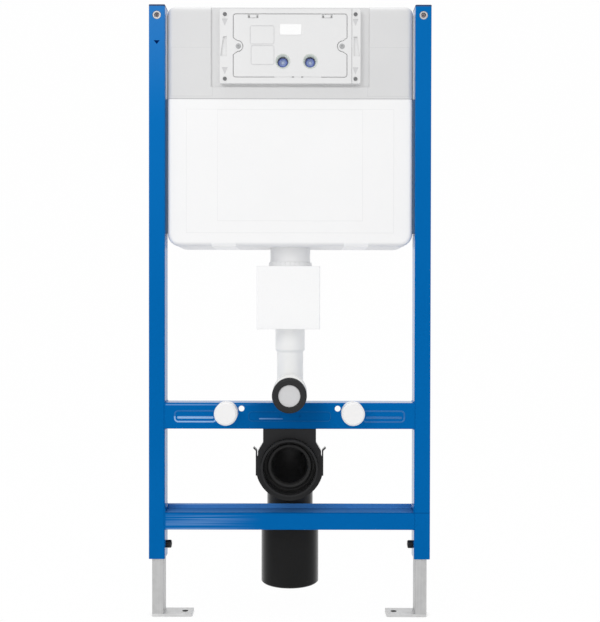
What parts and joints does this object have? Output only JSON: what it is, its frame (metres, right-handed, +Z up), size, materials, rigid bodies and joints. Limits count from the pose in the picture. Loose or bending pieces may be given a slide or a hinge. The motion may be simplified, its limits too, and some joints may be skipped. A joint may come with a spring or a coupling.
{
  "type": "wall hung toilet frame",
  "caption": "Steel wall frame with telescopic legs that carries a concealed cistern, flush pipe and waste bend for a wall hung toilet pan.",
  "frame": {"origin": "centre of the back face of the left wall plate, on the wall plane", "axes": "+X from the left post to the right post as seen from the front, +Y from the front into the wall, +Z up"},
  "size_m": [0.5265, 0.213, 1.144],
  "materials": {
    "blue_paint": "satin powder coat",
    "blue_plastic": "matte",
    "galvanised": "zinc plated, dull",
    "black_steel": "black oxide",
    "black_plastic": "matte",
    "black_rubber": "matte",
    "white_plastic": "satin",
    "grey_cover": "fine grain",
    "pale_plastic": "satin",
    "white_foam": "bead foam",
    "blue_actuator": "satin"
  },
  "bodies": {
    "frame": {"cistern_body": "white_plastic", "cistern_cover": "grey_cover", "cistern_strap": "galvanised", "flush_pipe": "pale_plastic", "flush_plug": "pale_plastic", "flush_seal": "black_rubber", "insulation_block": "white_foam", "left_clamp_bolt": "black_steel", "left_leg_bush": "black_plastic", "left_pan_stud": "galvanised", "left_post": "blue_paint", "left_post_cap": "blue_plastic", "left_stud_cap": "white_plastic", "left_wall_plate": "galvanised", "left_wall_tie": "galvanised", "lower_rail": "blue_paint", "outlet_neck": "pale_plastic", "pan_rail": "blue_paint", "right_clamp_bolt": "black_steel", "right_leg_bush": "black_plastic", "right_pan_stud": "galvanised", "right_post": "blue_paint", "right_post_cap": "blue_plastic", "right_stud_cap": "white_plastic", "right_wall_plate": "galvanised", "right_wall_tie": "galvanised", "service_cover": "pale_plastic", "service_frame": "pale_plastic", "waste_bend": "black_plastic", "waste_bracket": "black_plastic", "waste_pipe": "black_plastic", "waste_seal": "black_rubber"},
    "left_leg": {"left_leg": "galvanised", "left_foot": "galvanised"},
    "right_leg": {"right_leg": "galvanised", "right_foot": "galvanised"},
    "left_actuator": {"left_flush_actuator": "blue_actuator"},
    "right_actuator": {"right_flush_actuator": "blue_actuator"}
  },
  "joints": [
    {"name": "left_leg_slide", "type": "slide", "parent": "frame", "child": "left_leg", "axis": [0, 0, -1], "range_m": [-0.095, 0.095]},
    {"name": "right_leg_slide", "type": "slide", "parent": "frame", "child": "right_leg", "axis": [0, 0, -1], "range_m": [-0.095, 0.095]},
    {"name": "left_actuator_press", "type": "slide", "parent": "frame", "child": "left_actuator", "axis": [0, 1, 0], "range_m": [0, 0.008], "stiffness_N_per_m": 600, "springref_m": -0.002},
    {"name": "right_actuator_press", "type": "slide", "parent": "frame", "child": "right_actuator", "axis": [0, 1, 0], "range_m": [0, 0.008], "stiffness_N_per_m": 600, "springref_m": -0.002}
  ]
}
